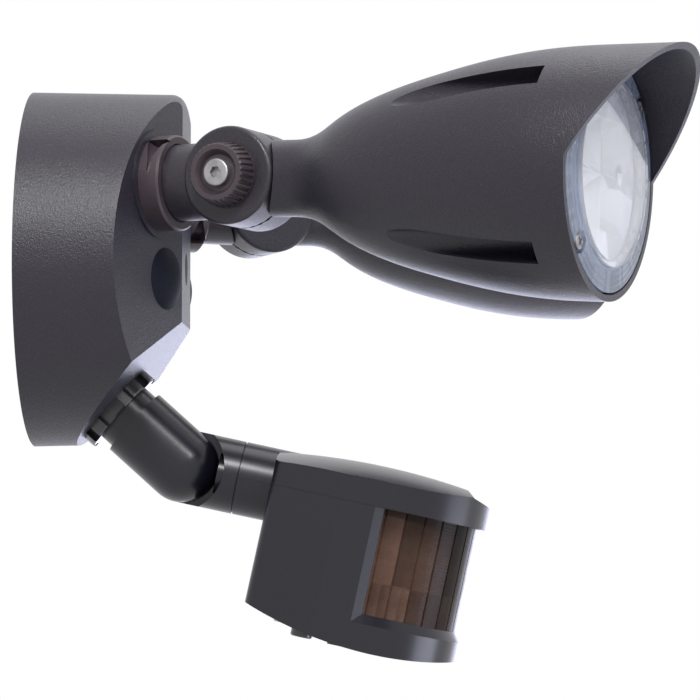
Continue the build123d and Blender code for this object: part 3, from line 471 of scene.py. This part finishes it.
def led_board(side):
    """White solder mask with a yellow phosphor on each raised emitter."""
    recipe = Recipe(side + "_led_board")
    pivot, _, _, axis = lamp_frame(side)
    (height,) = recipe.local(pivot, axis)
    chip = recipe.span(height, BOARD_TOP + CHIP_START, BOARD_TOP + CHIP_FULL)
    mask = recipe.sway(recipe.noise(180, detail=3.0), 0.72, 0.78)
    grains = recipe.noise(900, detail=2.0)
    phosphor = recipe.sway(grains, (0.78, 0.56, 0.16), (0.86, 0.68, 0.26))
    recipe.colour(recipe.mix(chip, mask, phosphor))
    recipe.roughness(recipe.span(chip, 0.0, 1.0, 0.35, 0.6))
    recipe.bump(recipe.noise(900, detail=1.0), distance=0.00003, strength=0.5)
    return recipe.material


COAT = (0.0165, 0.0136, 0.0210)
ARM_COAT = (0.023, 0.0190, 0.026)
SENSOR_PLASTIC = (0.0062, 0.0060, 0.0112)
SENSOR_ROUGHNESS = 0.36

# By the record's material slots.
MATERIALS = {
    "cast_powder_coat": powder_coat("powder_coat", COAT),
    "brown_plastic": moulded("brown_plastic", (0.046, 0.033, 0.041), 0.40),
    "plug_plastic": moulded("plug_plastic", (0.003, 0.0045, 0.011), 0.60, specular=0.15),
    "sensor_plastic": shell_plastic("sensor_plastic", SENSOR_PLASTIC, SENSOR_ROUGHNESS,
                                    parted=False),
    "nut_plastic": moulded("nut_plastic", (0.010, 0.010, 0.014), 0.30, gloss=0.5),
    "stainless": turned_metal("stainless", (0.36, 0.35, 0.36), 0.50),
    "zinc_steel": turned_metal("zinc_steel", (0.50, 0.52, 0.55), 0.36),
    "brass_green": turned_metal("green_screw", (0.10, 0.34, 0.16), 0.40),
    "die_cast_core": turned_metal("die_cast", (0.30, 0.30, 0.32), 0.55, rings=900),
    "clear_lens": clear_plastic("clear_window", (0.30, 0.30, 0.34)),
    "reflector_white": reflector("left"),
    "board_white": led_board("left"),
    "board_green": circuit_board("circuit_board", (0.02, 0.10, 0.04), (0.05, 0.18, 0.08)),
    "foam": foam("gasket_foam", (0.03, 0.03, 0.032)),
    "silicone": moulded("silicone", (0.50, 0.51, 0.57), 0.50),
    "sensor_lens_plastic": smoked_lens("smoked_lens"),
    "driver_case": moulded("driver_case", (0.60, 0.60, 0.57), 0.45),
    "detector_metal": turned_metal("detector_metal", (0.62, 0.50, 0.28), 0.28),
}
arm_coat = powder_coat("arm_coat", ARM_COAT, depth=0.5, roughness=0.42)
shell = shell_plastic("shell_plastic", SENSOR_PLASTIC, SENSOR_ROUGHNESS)

# Nodes that need a material of their own within their slot.
NODE_MATERIALS = {
    "sensor_upper_shell": shell,
    "sensor_lower_shell": shell,
    "left_arm": arm_coat,
    "right_arm": arm_coat,
    "left_lens": lamp_lens("left"),
    "right_lens": lamp_lens("right"),
    "right_led_board": led_board("right"),
    "right_reflector": reflector("right"),
}

slot_of = {part["node"]: part["material_slot"] for part in frame["record"]["subparts"]}
for name, node in nodes.items():
    material = NODE_MATERIALS.get(name, MATERIALS[slot_of[name]])
    if len(node.material_slots) == 0:
        node.data.materials.append(material)
        continue
    for slot in node.material_slots:
        slot.link = "OBJECT"
        slot.material = material


# ------------------------------------------------------------------ seal in the neck's turning gap
def turned_ring(name, place, axis, profile, segments=128):
    """A ring turned from a closed profile of (radius, distance along the axis) about an axis."""
    mesh = bmesh.new()
    aim = axis.normalized().to_track_quat("Z", "Y").to_matrix()
    loops = []
    for step in range(segments):
        angle = 2 * math.pi * step / segments
        points = [(radius * math.cos(angle), radius * math.sin(angle), along)
                  for radius, along in profile]
        loops.append([mesh.verts.new(Vector(place) + aim @ Vector(point)) for point in points])
    for step, loop in enumerate(loops):
        following = loops[(step + 1) % segments]
        for index in range(len(profile)):
            after = (index + 1) % len(profile)
            face = mesh.faces.new((loop[index], loop[after], following[after], following[index]))
            face.smooth = True
    bmesh.ops.recalc_face_normals(mesh, faces=mesh.faces)
    data = bpy.data.meshes.new(name)
    mesh.to_mesh(data)
    mesh.free()
    piece = bpy.data.objects.new(name, data)
    bpy.context.collection.objects.link(piece)
    return piece


GAP_START, GAP_END = 0.02283, 0.02325
RING_OUTER, RING_INNER, RING_ROUND = 0.0139, 0.0083, 0.0001
ring_profile = [
    (RING_INNER, GAP_START),
    (RING_OUTER - RING_ROUND, GAP_START),
    (RING_OUTER, GAP_START + RING_ROUND),
    (RING_OUTER, GAP_END - RING_ROUND),
    (RING_OUTER - RING_ROUND, GAP_END),
    (RING_INNER, GAP_END),
]
neck_seal = turned_ring("neck_seal", SENSOR_PIVOT, SENSOR_FORWARD, ring_profile)
neck_seal.data.materials.append(MATERIALS["nut_plastic"])
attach(neck_seal, "sensor_elbow")


# ------------------------------------------------------------------ lamps
LAMP_TARGET = Vector((0.0, -0.12, -0.03))
WHITE = (1.0, 1.0, 1.0)
# Name, place, width and height, watts and colour.
LAMPS = (
    ("key", (-1.04, -0.02, 0.80), (0.26, 0.26), 12.5, WHITE),
    ("top", (0.35, -0.35, 1.3), (1.0, 1.0), 6.2, WHITE),
    ("strip", (-0.88, -0.59, 0.54), (0.18, 0.18), 2.6, WHITE),
    ("rim", (-0.12, -1.00, -0.36), (0.5, 0.15), 1.9, (0.80, 0.83, 1.0)),
    ("under", (0.9, -0.35, -0.40), (0.8, 0.8), 4.6, (0.72, 0.75, 1.0)),
)


def area_lamp(name, place, size, power, colour):
    """A rectangular lamp that points at the middle of the object."""
    data = bpy.data.lights.new(name, "AREA")
    data.shape = "RECTANGLE"
    data.size, data.size_y = size
    data.energy = power
    data.color = colour
    lamp = bpy.data.objects.new(name, data)
    lamp.matrix_world = aimed(place, LAMP_TARGET - Vector(place))
    bpy.context.collection.objects.link(lamp)


for lamp in LAMPS:
    area_lamp(*lamp)


# ------------------------------------------------------------------ world and floor
SEEN_RAYS = ["Is Camera Ray", "Is Transmission Ray", "Is Glossy Ray"]
WORLD_COLOUR = (0.93, 0.94, 1.0)
WORLD_STRENGTH = 0.18

world = bpy.data.worlds.new("world")
world.use_nodes = True
bpy.context.scene.world = world
background = world.node_tree.nodes["Background"]
background.inputs["Color"].default_value = colour_of(WORLD_COLOUR)
background.inputs["Strength"].default_value = WORLD_STRENGTH
white = world.node_tree.nodes.new("ShaderNodeBackground")
white.inputs["Color"].default_value = colour_of(WHITE)
by_ray(world.node_tree, SEEN_RAYS, background.outputs["Background"], white.outputs["Background"],
       world.node_tree.nodes["World Output"].inputs["Surface"])

FLOOR_LEVEL = -0.45
FLOOR_REACH = 5.0
FLOOR_BOUNCE = (0.86, 0.86, 0.87)
FLOOR_SHADOWED = (0.30, 0.30, 0.31)
# The floor's own glow grows from near to far, so that it blends into the white behind it.
GLOW_NEAR, GLOW_FAR = 0.74, 1.0
GLOW_START, GLOW_END = 0.6, 2.6


def floor_paint():
    """Bounces light as a pale floor, and is seen as white with the object's shadow on it."""
    recipe = Recipe("floor")
    recipe.set(Base_Color=colour_of(FLOOR_BOUNCE), Roughness=0.9, Specular_IOR_Level=0.0)
    distance = recipe.add("ShaderNodeVectorMath", operation="LENGTH")
    recipe.link(recipe.place, distance.inputs[0])
    glow = recipe.add("ShaderNodeEmission")
    strength = recipe.span(distance.outputs["Value"], GLOW_START, GLOW_END, GLOW_NEAR, GLOW_FAR,
                           "SMOOTHSTEP")
    recipe.link(strength, glow.inputs["Strength"])
    shadowed = recipe.add("ShaderNodeBsdfDiffuse")
    shadowed.inputs["Color"].default_value = colour_of(FLOOR_SHADOWED)
    seen = recipe.add("ShaderNodeAddShader")
    recipe.link(shadowed.outputs["BSDF"], seen.inputs[0])
    recipe.link(glow.outputs["Emission"], seen.inputs[1])
    by_ray(recipe.tree, SEEN_RAYS, recipe.shader.outputs["BSDF"], seen.outputs["Shader"],
           recipe.surface)
    return recipe.material


corners = [(-FLOOR_REACH, -FLOOR_REACH), (FLOOR_REACH, -FLOOR_REACH),
           (FLOOR_REACH, FLOOR_REACH), (-FLOOR_REACH, FLOOR_REACH)]
floor_mesh = bpy.data.meshes.new("floor")
floor_mesh.from_pydata([(x, y, FLOOR_LEVEL) for x, y in corners], [], [(0, 1, 2, 3)])
floor_mesh.materials.append(floor_paint())
floor = bpy.data.objects.new("floor", floor_mesh)
bpy.context.collection.objects.link(floor)
